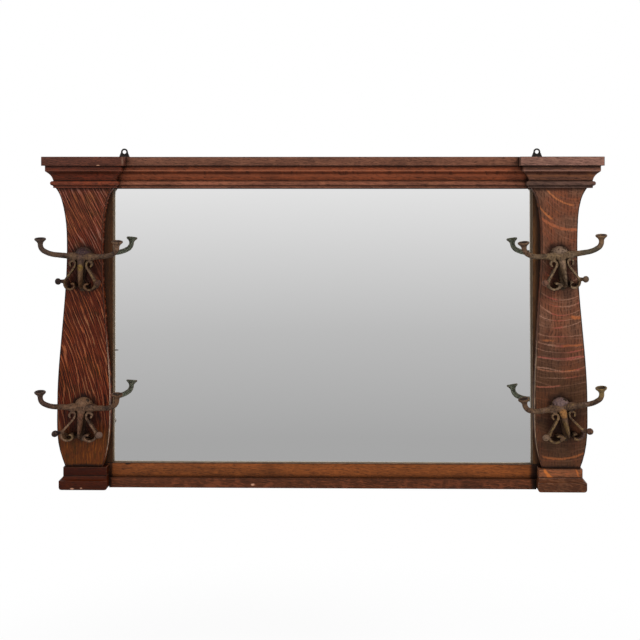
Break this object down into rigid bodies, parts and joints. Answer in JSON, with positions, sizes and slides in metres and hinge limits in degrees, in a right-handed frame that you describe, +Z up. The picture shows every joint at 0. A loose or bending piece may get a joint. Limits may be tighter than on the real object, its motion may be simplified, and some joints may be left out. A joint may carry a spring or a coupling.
{
  "type": "wall mirror with coat hooks",
  "caption": "Wall-hung oak hall mirror with a cornice, shaped side posts on plinths and cast double coat hooks.",
  "frame": {"origin": "centre of the mirror opening, on the wall plane at the back of the frame", "axes": "+X to the viewer's right along the width, +Y into the wall, +Z up; the front faces -Y"},
  "size_m": [1.1881, 0.1155, 0.7239],
  "materials": {
    "oak": "dark stained quarter-sawn oak with worn old varnish",
    "pine": "unfinished aged softwood",
    "mirror": "silvered plate glass",
    "bronzed_iron": "worn bronze plating with brown and green patina",
    "dark_steel": "blackened steel"
  },
  "bodies": {
    "root": {"left_stile": "oak", "right_stile": "oak", "top_rail": "oak", "bottom_rail": "oak", "left_post": "oak", "right_post": "oak", "left_cap_board": "oak", "center_cap_board": "oak", "right_cap_board": "oak", "left_crown_front": "oak", "left_crown_outer_return": "oak", "left_crown_inner_return": "oak", "center_crown": "oak", "right_crown_front": "oak", "right_crown_outer_return": "oak", "right_crown_inner_return": "oak", "left_bead_front": "oak", "left_bead_outer_return": "oak", "left_bead_inner_return": "oak", "center_bead": "oak", "right_bead_front": "oak", "right_bead_outer_return": "oak", "right_bead_inner_return": "oak", "left_plinth_block": "oak", "right_plinth_block": "oak", "left_plinth_base": "oak", "right_plinth_base": "oak", "base_strip": "oak", "upper_backing_board": "pine", "middle_backing_board": "pine", "lower_backing_board": "pine", "left_capital_block": "pine", "right_capital_block": "pine", "frame_dowels": "pine", "mirror_plate": "mirror", "upper_left_hook": "bronzed_iron", "lower_left_hook": "bronzed_iron", "upper_right_hook": "bronzed_iron", "lower_right_hook": "bronzed_iron", "backing_brads": "dark_steel", "left_post_screws": "dark_steel", "right_post_screws": "dark_steel", "left_hanger": "dark_steel", "right_hanger": "dark_steel", "hanger_screws": "dark_steel", "upper_left_hook_screws": "dark_steel", "lower_left_hook_screws": "dark_steel", "upper_right_hook_screws": "dark_steel", "lower_right_hook_screws": "dark_steel"}
  },
  "joints": []
}
